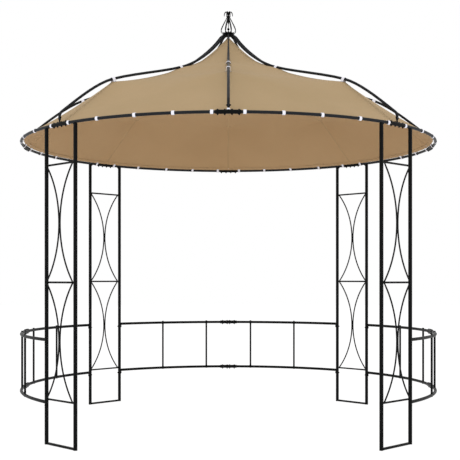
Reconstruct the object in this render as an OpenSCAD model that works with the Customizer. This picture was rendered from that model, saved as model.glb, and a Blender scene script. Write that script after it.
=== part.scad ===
// Round garden gazebo: four trellis legs carry a ring of tube on a circle, eight S-curved
// ribs rise from the ring to a crown with an open finial, and a canopy hangs under the ribs.
// Three low balustrades follow the circle between the legs, and the fourth side is the entrance.
// Millimetres, +Z up, the floor at z = 0 and the entrance facing -Y.

/* [Overall] */
// Radius of the circle on which the posts, the rails and the ring stand
ring_r = 1480; // [1200:5:1900]
// Height of the centre of the ring
ring_z = 2005; // [1750:5:2500]
// Height of the ribs' upper ends above the ring
crown_rise = 824; // [700:2:1100]
// Gap left between pieces that are fitted together
fit = 0.3; // [0.2:0.05:0.5]

/* [Legs] */
// Diameter of a leg post
post_d = 25; // [18:0.5:35]
// Distance between the centres of a leg's two posts
post_pitch = 308; // [240:2:460]
// Height of the foot bar, which lies on the floor
foot_bar_h = 14; // [8:1:25]
// Thickness of the foot bar
foot_bar_t = 12; // [6:1:20]
// Thickness of the round bars that tie the posts together
rung_d = 12.5; // [8:0.5:16]
// Thickness of the bowed bars
bow_d = 10; // [6:0.5:12]
// Height of the lowest rung
low_rung_z = 287; // [200:2:400]
// Height of the highest rung
high_rung_z = 1760; // [1500:2:1900]
// Width of the brace in the corner under the ring
brace_w = 14; // [8:1:24]
// Height of that brace
brace_h = 24; // [12:1:40]
// Thickness of that brace
brace_t = 4; // [2:0.5:8]

/* [Ring] */
// Diameter of the ring tube
ring_d = 19; // [16:0.5:28]
// Length of the sleeve over each joint of the ring
ring_sleeve_l = 150; // [100:5:220]
// Wall of a joint sleeve
sleeve_wall = 2.7; // [1.5:0.1:4]
// Diameter of the stud on which a rib stands
stud_d = 11; // [8:0.5:13]

/* [Ribs] */
// Diameter of a rib tube
rib_d = 17; // [15.5:0.5:24]
// Height of a rib's lower end above the ring
rib_foot_h = 28; // [24:1:36]
// Height above the ring at which a rib turns inwards
rib_knee_h = 48; // [44:1:70]
// Radius at which the outer tie holds the canopy
outer_tie_r = 1072; // [900:4:1150]
// Height of the rib above the ring at the outer tie
outer_tie_h = 341; // [280:1:420]
// Radius at which the inner tie holds the canopy
inner_tie_r = 460; // [380:4:600]
// Height of the rib above the ring at the inner tie
inner_tie_h = 519; // [460:1:620]
// Width of a rib's flattened upper end
rib_flat_w = 9; // [7:0.5:12]
// Height of a rib's flattened upper end
rib_flat_h = 19; // [14:0.5:24]

/* [Crown and finial] */
// Diameter of the hub that the ribs run into
hub_d = 34; // [32:1:60]
// Radius of the plate that covers the ribs' ends
crown_plate_r = 46; // [36:1:70]
// Thickness of that plate
crown_plate_t = 4; // [3:0.5:8]
// Height of the finial above the plate
finial_h = 158; // [120:2:240]
// Radius of the finial's basket at its widest
basket_r = 58; // [45:1:80]
// Width of the finial's strips
strip_w = 6; // [4:0.5:8]
// Thickness of the finial's strips
strip_t = 2.4; // [2:0.2:4]
// Diameter of the ball inside the basket
ball_d = 18; // [12:1:28]

/* [Canopy] */
// Gap between the ring's joint sleeves and the hem
hem_gap = 4.5; // [2:0.5:20]
// Height of the hem above the ring's centre
hem_lift = 4; // [0:1:24]
// Thickness of the sheet as a solid
sheet_t = 3; // [2:0.5:6]
// Distance from the middle of a rib down to the sheet at the outer tie
outer_tie_drop = 18; // [14:1:30]
// How far the sheet hangs below a straight line between the two ties
mid_sag = 18; // [5:1:50]
// Width of a tie strap
tie_w = 22; // [12:1:35]
// Thickness of a tie strap
tie_t = 1.6; // [1:0.1:3]

/* [Balustrades] */
// Height of the top rail
top_rail_z = 661; // [560:2:900]
// Height of the bottom rail
bottom_rail_z = 266; // [180:2:340]
// Diameter of the rails
rail_d = 21; // [15:0.5:25]
// Length of the sleeve that joins the two halves of a rail
rail_sleeve_l = 146; // [100:5:200]
// Diameter of the upright spindles
spindle_d = 15; // [9:0.1:18]
// Distance along the circle from one spindle to the next
spindle_pitch = 394; // [320:2:460]
// How far a spindle's end stands proud of the rails
spindle_proud = 5; // [2:1:12]
// Length of the lug that bolts a rail to its post
lug_l = 30; // [20:1:45]
// Width of that lug
lug_w = 10; // [8:1:16]
// Thickness of that lug
lug_t = 4; // [3:0.5:6]

/* [Hidden] */
LEGS = ["front_right", "back_right", "back_left", "front_left"];
SIDES = ["right", "back", "left"];

STEEL = "#26282b";
FABRIC = "#b09a76";
STRAP = "#ecebf2";

RIBS = 8;
RIB_STEP = 360 / RIBS;
// Azimuths are counted from the entrance side, anticlockwise seen from above.
FRONT = -90;
// Half the angle between a leg's two posts, and the distance of the leg's plane from the axis
leg_half_angle = asin(post_pitch / 2 / ring_r);
leg_plane_r = ring_r * cos(leg_half_angle);
post_top_z = ring_z - ring_d / 2 - fit;
mid_rung_z = (low_rung_z + high_rung_z) / 2;

sleeve_in_r = ring_d / 2 + fit;
sleeve_out_r = sleeve_in_r + sleeve_wall;
joint_gap = 1;

// The rib's line, as [radius, height above the ring], with its slopes in degrees
RIB_SIDES = 14;
KNEE_TURN = [-18, 34];
KNEE_SLOPE = 38.5;
TIE_SLOPE_OUTER = 20.3;
TIE_SLOPE_INNER = 19.2;
CROWN_SLOPE = 55;
CROWN_TURN = [60, -23];
rib_end_r = hub_d / 2 + fit;
STUD_BELOW_KNEE = 4;
stud_top_h = rib_knee_h - STUD_BELOW_KNEE;
rib_bore_d = stud_d + 4 * fit;

// The sheet's slopes at the inner tie and at the crown
SHEET_SLOPE_TIE = 20;
SHEET_SLOPE_TOP = 47;
hem_inset = sleeve_out_r + hem_gap;

crown_z = ring_z + crown_rise;
plate_z = crown_z + rib_flat_h / 2 + fit;
HUB_BELOW_RIBS = 3;
hub_bottom_z = crown_z - rib_flat_h / 2 - HUB_BELOW_RIBS;
finial_foot_r = crown_plate_r - 3 * crown_plate_t;

rail_span_half = 45 - leg_half_angle;

// ---- helpers -------------------------------------------------------------

// Turns its children so that +X points to an azimuth
module at_azimuth(a) rotate([0, 0, FRONT + a]) children();

// A tube bent to the circle of the ring: radius, half angle and section radius
module bent_rod(r, half_angle, section_r) {
    rotate([0, 0, -half_angle])
        rotate_extrude(angle = 2 * half_angle, $fn = 240)
            translate([r, 0]) circle(r = section_r, $fn = 32);
}

function bez(a, b, c, d, t) =
    pow(1 - t, 3) * a + 3 * pow(1 - t, 2) * t * b + 3 * (1 - t) * t * t * c + pow(t, 3) * d;

function bez_run(a, b, c, d, n, first = 0) = [for (i = [first : n]) bez(a, b, c, d, i / n)];

// Unit vector towards the axis and up at the given slope
function inward(slope) = [-cos(slope), sin(slope)];

// A bend from one point and slope to another; each handle is a share of the distance between them
function bend(a, slope_a, b, slope_b, n, first = 1, share = 0.29) =
    let (l = share * norm(b - a))
        bez_run(a, a + l * inward(slope_a), b - l * inward(slope_b), b, n, first);

function mix(a, b, t) = a + (b - a) * t;

function clamp(t) = max(0, min(1, t));

// Direction of a planar line at one of its points
function heading(line, i) =
    let (d = line[min(i + 1, len(line) - 1)] - line[max(i - 1, 0)]) atan2(d[1], d[0]);

// Closes a list of equal rings of points into a solid
module skin(rings) {
    sides = len(rings[0]);
    points = [for (ring = rings, p = ring) p];
    walls = [
        for (i = [0 : len(rings) - 2], j = [0 : sides - 1])
            let (k = (j + 1) % sides)
                each [
                    [i * sides + j, i * sides + k, (i + 1) * sides + k],
                    [i * sides + j, (i + 1) * sides + k, (i + 1) * sides + j]
                ]
    ];
    first_cap = [for (j = [sides - 1 : -1 : 0]) j];
    last_cap = [for (j = [0 : sides - 1]) (len(rings) - 1) * sides + j];
    polyhedron(points, concat(walls, [first_cap, last_cap]));
}

// ---- legs ----------------------------------------------------------------

// A leg is drawn with its plane across +X; side is -1 or 1 along Y
module post(side) {
    translate([leg_plane_r, side * post_pitch / 2, 0]) cylinder(d = post_d, h = post_top_z, $fn = 48);
    translate([leg_plane_r, side * (post_pitch / 2 - post_d / 2 + 1), post_top_z])
        rotate([90, 0, side > 0 ? 90 : -90])
            translate([0, 0, -brace_t / 2])
                linear_extrude(height = brace_t)
                    brace_outline(side);
}

// The brace's outline: two straight legs and a hollow corner
module brace_outline(side) {
    steps = 8;
    polygon([
        [1, 0],
        [-brace_w, 0],
        for (i = [0 : steps])
            let (a = 90 * i / steps) [-brace_w + brace_w * sin(a), -brace_h + brace_h * cos(a) - 3],
        [1, -brace_h - 3]
    ]);
}

// A straight round bar between the posts
module rung(z) {
    length = post_pitch - post_d - 2 * fit;
    translate([leg_plane_r, -length / 2, z])
        rotate([-90, 0, 0])
            cylinder(d = rung_d, h = length, $fn = 24);
}

// A bow springs from the corners of two rungs and nearly meets its mate in the middle. It lies
// on the outer face of the rungs, sunk in for the weld, and clears the posts.
BOW_SUNK = 2;
BOW_END_IN = 3.5;
BOW_CORNER_INSET = 3;
bow_out = (rung_d + bow_d) / 2 - BOW_SUNK;

module bow(z0, z1, side) {
    clear = (post_d + bow_d) / 2 + 2 * fit;
    from_post = max(post_d / 2 + BOW_CORNER_INSET, sqrt(max(0, clear * clear - bow_out * bow_out)));
    rise = (z1 - z0) / 2 - BOW_END_IN;
    reach = post_pitch / 2 - from_post - bow_d / 2 - fit;
    r = (rise * rise + reach * reach) / (2 * reach);
    half = asin(rise / r);
    centre_y = side * (r + bow_d / 2 + fit);
    translate([leg_plane_r + bow_out, centre_y, (z0 + z1) / 2])
        rotate([0, -90, 0])
            rotate([0, 0, side > 0 ? -90 - half : 90 - half])
                rotate_extrude(angle = 2 * half, $fn = 160)
                    translate([r, 0]) circle(d = bow_d, $fn = 24);
}

module trellis() {
    for (z = [low_rung_z, mid_rung_z, high_rung_z]) rung(z);
    for (side = [-1, 1]) {
        bow(low_rung_z, mid_rung_z, side);
        bow(mid_rung_z, high_rung_z, side);
    }
    foot_bar();
}

module foot_bar() {
    length = post_pitch - post_d - 2 * fit;
    translate([leg_plane_r - foot_bar_t / 2, -length / 2, 0]) cube([foot_bar_t, length, foot_bar_h]);
}

// ---- ring ----------------------------------------------------------------

module ring_segment(i) {
    half = (RIB_STEP - joint_gap / ring_r * 180 / PI) / 2;
    at_azimuth((i + 0.5) * RIB_STEP)
        translate([0, 0, ring_z])
            bent_rod(ring_r, half, ring_d / 2);
}

module ring_sleeve() {
    half = ring_sleeve_l / 2 / ring_r * 180 / PI;
    translate([0, 0, ring_z])
        difference() {
            union() {
                bent_rod(ring_r, half, sleeve_out_r);
                translate([ring_r, 0, 0]) cylinder(d = stud_d, h = stud_top_h, $fn = 32);
            }
            bent_rod(ring_r, half + 1, sleeve_in_r);
        }
}

// ---- ribs ----------------------------------------------------------------

knee = [ring_r, rib_knee_h];
knee_end = knee + KNEE_TURN;
outer_tie = [outer_tie_r, outer_tie_h];
inner_tie = [inner_tie_r, inner_tie_h];
crown_turn = [CROWN_TURN[0], crown_rise + CROWN_TURN[1]];
rib_end = [rib_end_r, crown_rise];
rib_line = concat(
    [[ring_r, rib_foot_h]],
    bend(knee, 90, knee_end, KNEE_SLOPE, 4, 0, 0.4),
    bend(knee_end, KNEE_SLOPE, outer_tie, TIE_SLOPE_OUTER, 9),
    bend(outer_tie, TIE_SLOPE_OUTER, inner_tie, TIE_SLOPE_INNER, 6),
    bend(inner_tie, TIE_SLOPE_INNER, crown_turn, CROWN_SLOPE, 10),
    bend(crown_turn, CROWN_SLOPE, rib_end, 0, 5)
);

// Share of the flattening at a radius: none beyond the inner tie, all at the crown
function flattening(r) = clamp((inner_tie_r * 0.6 - r) / (inner_tie_r * 0.6 - CROWN_TURN[0]));

// One ring of a rib's skin: centre, heading, half width and half height of the section
function rib_ring(p, a, w, h) = [
    for (j = [0 : RIB_SIDES - 1])
        let (q = 360 * (j + 0.5) / RIB_SIDES, up = h * sin(q), across = w * cos(q))
            [p[0] - up * sin(a), across, p[1] + up * cos(a)]
];

module rib() {
    k = 1 / cos(180 / RIB_SIDES);
    n = len(rib_line);
    bore = rib_bore_d / 2 * k;
    outer = [
        for (i = [n - 1 : -1 : 0])
            let (f = flattening(rib_line[i][0]))
                rib_ring(rib_line[i], i == 0 ? 90 : i == n - 1 ? 180 : heading(rib_line, i),
                    mix(rib_d * k, rib_flat_w, f) / 2, mix(rib_d * k, rib_flat_h, f) / 2)
    ];
    inner = [for (h = [rib_foot_h, stud_top_h + fit]) rib_ring([ring_r, h], 90, bore, bore)];
    translate([0, 0, ring_z]) skin(concat(outer, inner));
}

// ---- crown and finial ----------------------------------------------------

module crown_hub() {
    translate([0, 0, hub_bottom_z]) cylinder(d = hub_d, h = plate_z - hub_bottom_z, $fn = 48);
    translate([0, 0, plate_z])
        cylinder(r1 = crown_plate_r, r2 = crown_plate_r - 2 * crown_plate_t, h = crown_plate_t, $fn = 64);
}

// The finial's strip as [radius, height above the plate]
module finial_strip() {
    foot = [finial_foot_r - 2, strip_t / 2];
    belly = [basket_r, finial_h * 0.11];
    neck = [5, finial_h * 0.82];
    lip = [basket_r * 0.34, finial_h - strip_t];
    tip = [basket_r * 0.57, finial_h * 0.81];
    line = concat(
        bez_run(foot, foot + [18, 0], belly - [0, 12], belly, 6),
        bez_run(belly, belly + [0, 20], neck + [20, -44], neck, 9, 1),
        bez_run(neck, neck + [-1, 10], lip - [12, 0], lip, 6, 1),
        bez_run(lip, lip + [9, 0], tip + [1, 8], tip, 5, 1)
    );
    n = len(line);
    side = [for (i = [0 : n - 1]) let (a = heading(line, i)) strip_t / 2 * [-sin(a), cos(a)]];
    rotate([90, 0, 0])
        translate([0, 0, -strip_w / 2])
            linear_extrude(height = strip_w)
                polygon(concat([for (i = [0 : n - 1]) line[i] + side[i]],
                    [for (i = [n - 1 : -1 : 0]) line[i] - side[i]]));
}

// The turned core: a foot, a stem with a ball, a rod, a vase where the strips gather and a bud
module finial_core() {
    profile = [
        [0, 0], [finial_foot_r, 0], [finial_foot_r, strip_t], [7, 3 * strip_t],
        [4, finial_h * 0.1], [2.5, finial_h * 0.14], [2.5, finial_h * 0.42], [5, finial_h * 0.46],
        [7.5, finial_h * 0.51], [7.5, finial_h * 0.55], [5.5, finial_h * 0.66],
        [4.5, finial_h * 0.8], [6, finial_h * 0.84], [10, finial_h * 0.89],
        [10.5, finial_h * 0.92], [8, finial_h * 0.965], [0, finial_h * 0.985]
    ];
    rotate_extrude($fn = 40) polygon(profile);
    translate([0, 0, finial_h * 0.19]) sphere(d = ball_d, $fn = 32);
}

module finial() {
    translate([0, 0, plate_z + crown_plate_t + fit]) {
        for (i = [0 : RIBS - 1]) rotate([0, 0, (i + 0.5) * RIB_STEP]) finial_strip();
        finial_core();
    }
}

// ---- canopy --------------------------------------------------------------

under_rib = rib_d / 2 / cos(TIE_SLOPE_OUTER) + 4 * fit;
hem = [ring_r - hem_inset, hem_lift];
canopy_outer = outer_tie - [0, outer_tie_drop];
canopy_inner = inner_tie - [0, under_rib];
canopy_apex = [0, hub_bottom_z - ring_z - fit];
HEM_ROWS = 4;
MID_ROWS = 6;
TOP_ROWS = 8;
GORE_STEPS = 6;

// The sheet's line under a rib, from the hem to just short of the crown
canopy_line = concat(
    [for (i = [0 : HEM_ROWS]) mix(hem, canopy_outer, i / HEM_ROWS)],
    [for (i = [1 : MID_ROWS]) let (t = i / MID_ROWS)
        mix(canopy_outer, canopy_inner, t) - [0, 4 * mid_sag * t * (1 - t)]],
    [for (p = bend(canopy_inner, SHEET_SLOPE_TIE, canopy_apex, SHEET_SLOPE_TOP, TOP_ROWS, 1, 0.4))
        if (p[0] > 1) p]
);

// Between two ribs the sheet leaves the circle of the hem and runs straight from rib to rib
function gore_share(row) = clamp(row / HEM_ROWS);

function gore_factor(a, row) =
    let (off = abs((a % RIB_STEP) - RIB_STEP / 2))
        mix(1, cos(RIB_STEP / 2) / cos(off), gore_share(row));

function canopy_ring(row, drop) = [
    for (j = [0 : RIBS * GORE_STEPS - 1])
        let (a = 360 * j / (RIBS * GORE_STEPS), r = canopy_line[row][0] * gore_factor(a, row))
            [r * cos(a + FRONT), r * sin(a + FRONT), canopy_line[row][1] - drop]
];

module canopy() {
    rows = len(canopy_line);
    n = RIBS * GORE_STEPS;
    top = [for (row = [0 : rows - 1]) canopy_ring(row, 0)];
    under = [for (row = [0 : rows - 1]) canopy_ring(row, sheet_t)];
    points = concat(
        [for (ring = top, p = ring) p], [[0, 0, canopy_apex[1]]],
        [for (ring = under, p = ring) p], [[0, 0, canopy_apex[1] - sheet_t]]
    );
    apex = rows * n;
    base = apex + 1;
    under_apex = base + rows * n;
    grid = [for (i = [0 : rows - 2], j = [0 : n - 1]) [i * n + j, i * n + (j + 1) % n]];
    faces = concat(
        [for (g = grid) each [[g[0] + n, g[1], g[0]], [g[0] + n, g[1] + n, g[1]]]],
        [for (g = grid) each [[base + g[0], base + g[1], base + g[0] + n],
            [base + g[1], base + g[1] + n, base + g[0] + n]]],
        [for (j = [0 : n - 1]) let (a = (rows - 1) * n + j, b = (rows - 1) * n + (j + 1) % n)
            each [[apex, b, a], [base + a, base + b, under_apex]]],
        [for (j = [0 : n - 1]) let (b = (j + 1) % n)
            each [[j, b, base + b], [j, base + b, base + j]]]
    );
    translate([0, 0, ring_z]) polyhedron(points, faces);
}

// ---- ties ----------------------------------------------------------------

TIES = 5;
FIRST_TIE = 3.6;

// A strap round the ring, with a tail that reaches in and up to the hem
module ring_tie() {
    half = tie_w / 2 / ring_r * 180 / PI;
    tail_l = norm([hem_inset, hem_lift]) - 2 * fit;
    difference() {
        union() {
            bent_rod(ring_r, half, ring_d / 2 + fit + tie_t);
            translate([ring_r, 0, 0])
                rotate([0, -180 + atan2(hem_lift, hem_inset), 0])
                    translate([0, -tie_w / 2 + 2, -tie_t / 2])
                        cube([tail_l, tie_w - 4, tie_t]);
        }
        bent_rod(ring_r, half * 2, ring_d / 2 + fit);
    }
}

module canopy_ties() {
    translate([0, 0, ring_z])
        for (i = [0 : RIBS - 1], k = [0 : TIES - 1])
            at_azimuth(i * RIB_STEP + FIRST_TIE + k * (RIB_STEP - 2 * FIRST_TIE) / (TIES - 1))
                ring_tie();
}

// ---- balustrades ---------------------------------------------------------

module rail(z, half) {
    translate([0, 0, z])
        rotate([0, 0, half / 2])
            bent_rod(ring_r, half / 2, rail_d / 2);
}

// The half of a balustrade that runs from its middle, at +X, round to a post at +Y
module balustrade_half() {
    gap = joint_gap / 2 / ring_r * 180 / PI;
    bay = spindle_pitch / ring_r * 180 / PI;
    difference() {
        union() {
            for (z = [top_rail_z, bottom_rail_z]) {
                rotate([0, 0, gap]) rail(z, rail_span_half - gap);
                lug(z);
            }
            for (k = [0, 1])
                rotate([0, 0, bay * (k + 0.5)])
                    translate([ring_r, 0, bottom_rail_z - rail_d / 2 - 1])
                        cylinder(d = spindle_d, $fn = 32,
                            h = top_rail_z - bottom_rail_z + rail_d + 1 + spindle_proud);
        }
        rotate([0, 0, rail_span_half])
            translate([ring_r, 0, 0])
                cylinder(d = post_d + 2 * fit, h = ring_z, $fn = 48);
    }
}

// A lug hangs from the rail's end; the post's clearance hollows the side that faces the post
module lug(z) {
    rotate([0, 0, rail_span_half])
        translate([ring_r - lug_w / 2, -post_d / 2 - lug_t, z - lug_l])
            cube([lug_w, lug_t + post_d / 4, lug_l]);
}

module balustrade_sleeves() {
    half = rail_sleeve_l / 2 / ring_r * 180 / PI;
    for (a = [90, 180, 270], z = [top_rail_z, bottom_rail_z])
        at_azimuth(a)
            translate([0, 0, z])
                difference() {
                    bent_rod(ring_r, half, rail_d / 2 + fit + sleeve_wall);
                    bent_rod(ring_r, half + 1, rail_d / 2 + fit);
                }
}

// ---- assembly ------------------------------------------------------------

for (i = [0 : 3]) {
    a = 45 + 90 * i;
    // Counted anticlockwise, the inner post is the one nearer the front or the back of the circle.
    inner_side = i % 2 == 0 ? -1 : 1;
    at_azimuth(a) color(STEEL) post(-inner_side);
    at_azimuth(a) color(STEEL) post(inner_side);
    at_azimuth(a) color(STEEL) trellis();
}
for (i = [0 : RIBS - 1]) {
    color(STEEL) ring_segment(i);
    at_azimuth(i * RIB_STEP) color(STEEL) rib();
}
for (i = [0 : 2]) {
    at_azimuth(90 * (i + 1)) color(STEEL) balustrade_half();
    at_azimuth(90 * (i + 1)) color(STEEL) mirror([0, 1, 0]) balustrade_half();
}
for (i = [0 : RIBS - 1]) at_azimuth(i * RIB_STEP) color(STEEL) ring_sleeve();  // ring_joint_sleeves
color(STEEL) balustrade_sleeves();
color(FABRIC) canopy();
color(STRAP) canopy_ties();
color(STEEL) crown_hub();
color(STEEL) finial();
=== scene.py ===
# %% [markdown]
# # A round garden gazebo
# Four trellis legs of black tube carry a ring, eight bent ribs rise from the ring to a crown with
# an open finial, and one big sheet of beige cloth hangs under the ribs on white straps. The rigid
# frame comes ready made and stays where it is. This lesson adds the cloth, the straps, the bolts,
# the weld beads and the finish of every surface.

import math
import random

import bpy
from mathutils import Matrix, Vector, noise


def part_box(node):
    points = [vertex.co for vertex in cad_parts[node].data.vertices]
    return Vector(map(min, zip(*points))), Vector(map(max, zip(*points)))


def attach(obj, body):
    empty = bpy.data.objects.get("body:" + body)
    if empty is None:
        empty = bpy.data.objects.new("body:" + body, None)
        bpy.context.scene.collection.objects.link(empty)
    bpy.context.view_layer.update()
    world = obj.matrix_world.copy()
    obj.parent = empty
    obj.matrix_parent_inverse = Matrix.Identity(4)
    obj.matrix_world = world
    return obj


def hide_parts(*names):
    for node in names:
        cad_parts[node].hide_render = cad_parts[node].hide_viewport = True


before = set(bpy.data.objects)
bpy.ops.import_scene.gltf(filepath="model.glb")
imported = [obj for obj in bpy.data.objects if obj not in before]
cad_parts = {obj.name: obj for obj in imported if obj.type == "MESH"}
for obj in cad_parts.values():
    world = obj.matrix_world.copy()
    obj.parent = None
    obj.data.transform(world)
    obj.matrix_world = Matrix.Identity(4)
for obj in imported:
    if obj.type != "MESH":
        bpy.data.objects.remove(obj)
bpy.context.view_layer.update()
scene = bpy.context.scene
print("parts in the frame:", len(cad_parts))

# %% [markdown]
# ## The sizes that everything shares
# Metres are Blender's units, and small sizes are easier to read in millimetres, so MM turns one
# into the other. Whatever the frame can tell is read from the boxes of its parts: the ring's
# height, its tube and its radius, the rails, the crown, and the cloth's top and hem. The posts and
# the few other sizes that a box can't tell are written once here.

# %% Main sizes
MM = 0.001
RIBS = 8
RIB_STEP = math.tau / RIBS
ENTRANCE = -math.pi / 2  # azimuths are counted from the entrance, which faces -Y

ring_low, ring_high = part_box("ring_segment_1")
ring_tube_r = (ring_high.z - ring_low.z) / 2
ring_z = (ring_high.z + ring_low.z) / 2
ring_r = -ring_low.y - ring_tube_r
sleeve_r = ring_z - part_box("ring_joint_sleeves")[0].z
sleeve_low, sleeve_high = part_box("balustrade_sleeves")
rail_sleeve_r = sleeve_high.y - ring_r
rail_r = rail_sleeve_r - (sleeve_r - ring_tube_r)
top_rail_z = sleeve_high.z - rail_sleeve_r
bottom_rail_z = sleeve_low.z + rail_sleeve_r
crown_top_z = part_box("crown_hub")[1].z
cloth_top_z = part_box("canopy")[1].z
hem_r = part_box("canopy")[1].x

POST_R = 12.5 * MM
POST_OFFSET = 154 * MM  # from the middle of a leg to each of its posts
LEG_HALF_ANGLE = math.asin(POST_OFFSET / ring_r)
RUNG_HEIGHTS = [287 * MM, 1023.5 * MM, 1760 * MM]
RUNG_R = 6.25 * MM
SPINDLE_R = 7.5 * MM
RIB_R = 8.5 * MM
STUD_R = 5.5 * MM
LEG_AZIMUTHS = [math.radians(45 + 90 * leg) for leg in range(4)]
SIDE_AZIMUTHS = [math.radians(90 * side) for side in (1, 2, 3)]
print(f"ring: radius {ring_r / MM:.0f} mm, tube {2 * ring_tube_r / MM:.1f} mm")
print(f"ring's height {ring_z / MM:.0f} mm")
print(f"rails at {bottom_rail_z / MM:.0f} and {top_rail_z / MM:.0f} mm")
print(f"crown at {crown_top_z / MM:.0f} mm")

# %% [markdown]
# ## Helpers
# Operators act on whatever is selected, so `use` selects one set of objects and nothing else.
# `around` gives the place of a thing that stands on the circle: its X axis points outwards, its Y
# axis runs anticlockwise round the circle. `copies` puts a copy of one modelled thing at each of
# many places and joins them into a piece with its own mesh, which lies at the origin.


# %% Selecting, placing and copying
def use(*objects):
    bpy.ops.object.select_all(action="DESELECT")
    for each in objects:
        each.select_set(True)
    bpy.context.view_layer.objects.active = objects[0]


def newest(name):
    """The primitive that was just added, with its place applied to its mesh."""
    made = bpy.context.active_object
    use(made)
    bpy.ops.object.transform_apply(location=True, rotation=True, scale=True)
    made.name = name
    made.data.name = name
    return made


def joined(name, *objects):
    use(*objects)
    bpy.ops.object.join()
    made = bpy.context.active_object
    made.name = name
    made.data.name = name
    return made


def apply_modifiers(piece):
    use(piece)
    for modifier in list(piece.modifiers):
        bpy.ops.object.modifier_apply(modifier=modifier.name)


def smooth(piece, degrees=40):
    use(piece)
    bpy.ops.object.shade_smooth_by_angle(angle=math.radians(degrees))


def around(azimuth, r, z, tangential=0.0):
    return Matrix.Rotation(ENTRANCE + azimuth, 4, "Z") @ Matrix.Translation((r, tangential, z))


def copies(name, model, places):
    made = []
    for place in places:
        copy = model.copy()
        copy.data = model.data.copy()
        scene.collection.objects.link(copy)
        copy.data.transform(place)
        made.append(copy)
    bpy.data.objects.remove(model)
    return joined(name, *made)


def triangles(piece):
    return sum(len(face.vertices) - 2 for face in piece.data.polygons)


def finish_piece(piece, finish):
    """Gives a piece its material, hangs it on the frame's one body and prints its size."""
    if finish is not None:
        piece.data.materials.clear()
        piece.data.materials.append(finish)
    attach(piece, "root")
    print(f"{piece.name}: {triangles(piece)} triangles")
    return piece


# %% [markdown]
# ## Colours and nodes
# Colours are written as sRGB hex values, the way a picture editor shows them. Shaders work in
# linear light, so one function turns the one into the other. A second function adds a node with
# its settings and its links, and every material below is made with it. The white surroundings
# need to know who is looking, which the last function tells.


# %% Colour and node helpers
def linear(hex_colour):
    parts = [int(hex_colour[i : i + 2], 16) / 255 for i in (1, 3, 5)]
    return [p / 12.92 if p <= 0.04045 else ((p + 0.055) / 1.055) ** 2.4 for p in parts] + [1.0]


def add_node(material, kind, settings=None, inputs=None):
    node = material.node_tree.nodes.new(kind)
    for name, value in (settings or {}).items():
        setattr(node, name, value)
    for name, value in (inputs or {}).items():
        if isinstance(value, bpy.types.NodeSocket):
            material.node_tree.links.new(value, node.inputs[name])
        else:
            node.inputs[name].default_value = value
    return node


def new_material(name):
    material = bpy.data.materials.new(name)
    material.use_nodes = True
    material.node_tree.nodes.clear()
    return material


def output(material, shader):
    add_node(material, "ShaderNodeOutputMaterial", inputs={"Surface": shader})
    return material


def seen_directly(surface):
    """1 for what the camera sees, in a mirror or through glass too, and 0 for light on things."""
    light_path = add_node(surface, "ShaderNodeLightPath")
    seen = light_path.outputs["Is Camera Ray"]
    for ray in ("Is Transmission Ray", "Is Glossy Ray"):
        either = add_node(surface, "ShaderNodeMath", {"operation": "MAXIMUM"},
                          {0: seen, 1: light_path.outputs[ray]})
        seen = either.outputs[0]
    return seen


# %% [markdown]
# ## The camera
# The gazebo is seen from in front of its entrance at the height of a child's eyes, with the lens
# held level so that all posts stay upright. A level lens would put the roof out of the picture,
# so the view is shifted up instead of tilted, as with an architect's camera.

# %% Camera
CAMERA_DISTANCE = 6.836
CAMERA_HEIGHT = 1.048
camera_data = bpy.data.cameras.new("camera")
camera_data.sensor_width = 36
camera_data.lens = 73.06
camera_data.shift_x = 0.0035
camera_data.shift_y = 0.1054
camera = bpy.data.objects.new("camera", camera_data)
camera.location = (0, -CAMERA_DISTANCE, CAMERA_HEIGHT)
camera.rotation_euler = (math.radians(90), 0, 0)
scene.collection.objects.link(camera)
scene.camera = camera
scene.view_settings.view_transform = "Standard"
print("camera at", tuple(round(x, 3) for x in camera.location), "lens", camera_data.lens)

# %% [markdown]
# ## Light, floor and background
# A catalogue shot: an even bright surrounding, and wide soft lamps above the roof and in front.
# The camera sees pure white behind the object, and so do mirrors and glass, but the light that
# falls on the object is a plain level and not brighter for it. The floor is white in the same
# way and keeps a little of its own shading, so that the legs still stand on a soft shadow.

# %% World
WORLD_LEVEL = 0.92
world = bpy.data.worlds.new("white_surrounding")
scene.world = world
world.use_nodes = True
world.node_tree.nodes.clear()
lighting = add_node(world, "ShaderNodeBackground",
                    inputs={"Color": linear("#ffffff"), "Strength": WORLD_LEVEL})
backdrop = add_node(world, "ShaderNodeBackground",
                    inputs={"Color": linear("#ffffff"), "Strength": 1.0})
mixed = add_node(world, "ShaderNodeMixShader",
                 inputs={0: seen_directly(world), 1: lighting.outputs[0], 2: backdrop.outputs[0]})
add_node(world, "ShaderNodeOutputWorld", inputs={"Surface": mixed.outputs[0]})

# %% [markdown]
# Three round area lamps add what a photo studio's softboxes do: a weak one high above the roof
# and two stronger ones in front on either side, which light the steep lower part of the cloth
# more than the flat part above it. Large lamps keep the shadows soft.


# %% Lamps
def soft_lamp(name, place, target, size, power):
    data = bpy.data.lights.new(name, "AREA")
    data.shape = "DISK"
    data.size = size
    data.energy = power
    lamp = bpy.data.objects.new(name, data)
    lamp.location = place
    lamp.rotation_euler = (Vector(target) - Vector(place)).to_track_quat("-Z", "Y").to_euler()
    scene.collection.objects.link(lamp)
    return lamp


soft_lamp("lamp_above", place=(0, 0, 7.5), target=(0, 0, 1.5), size=5.0, power=20)
for side in (-1, 1):
    soft_lamp("lamp_in_front", place=(side * 5.3, -5.3, 2.4), target=(0, 0, 1.4),
              size=4.0, power=85)
print("lamps made, world level", WORLD_LEVEL)

# %% [markdown]
# The floor is one flat disc. For the camera it glows almost white and adds its own faint
# shading, which is where the legs' shadows show, while for the light that bounces off it, it is
# a plain pale floor.

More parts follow.
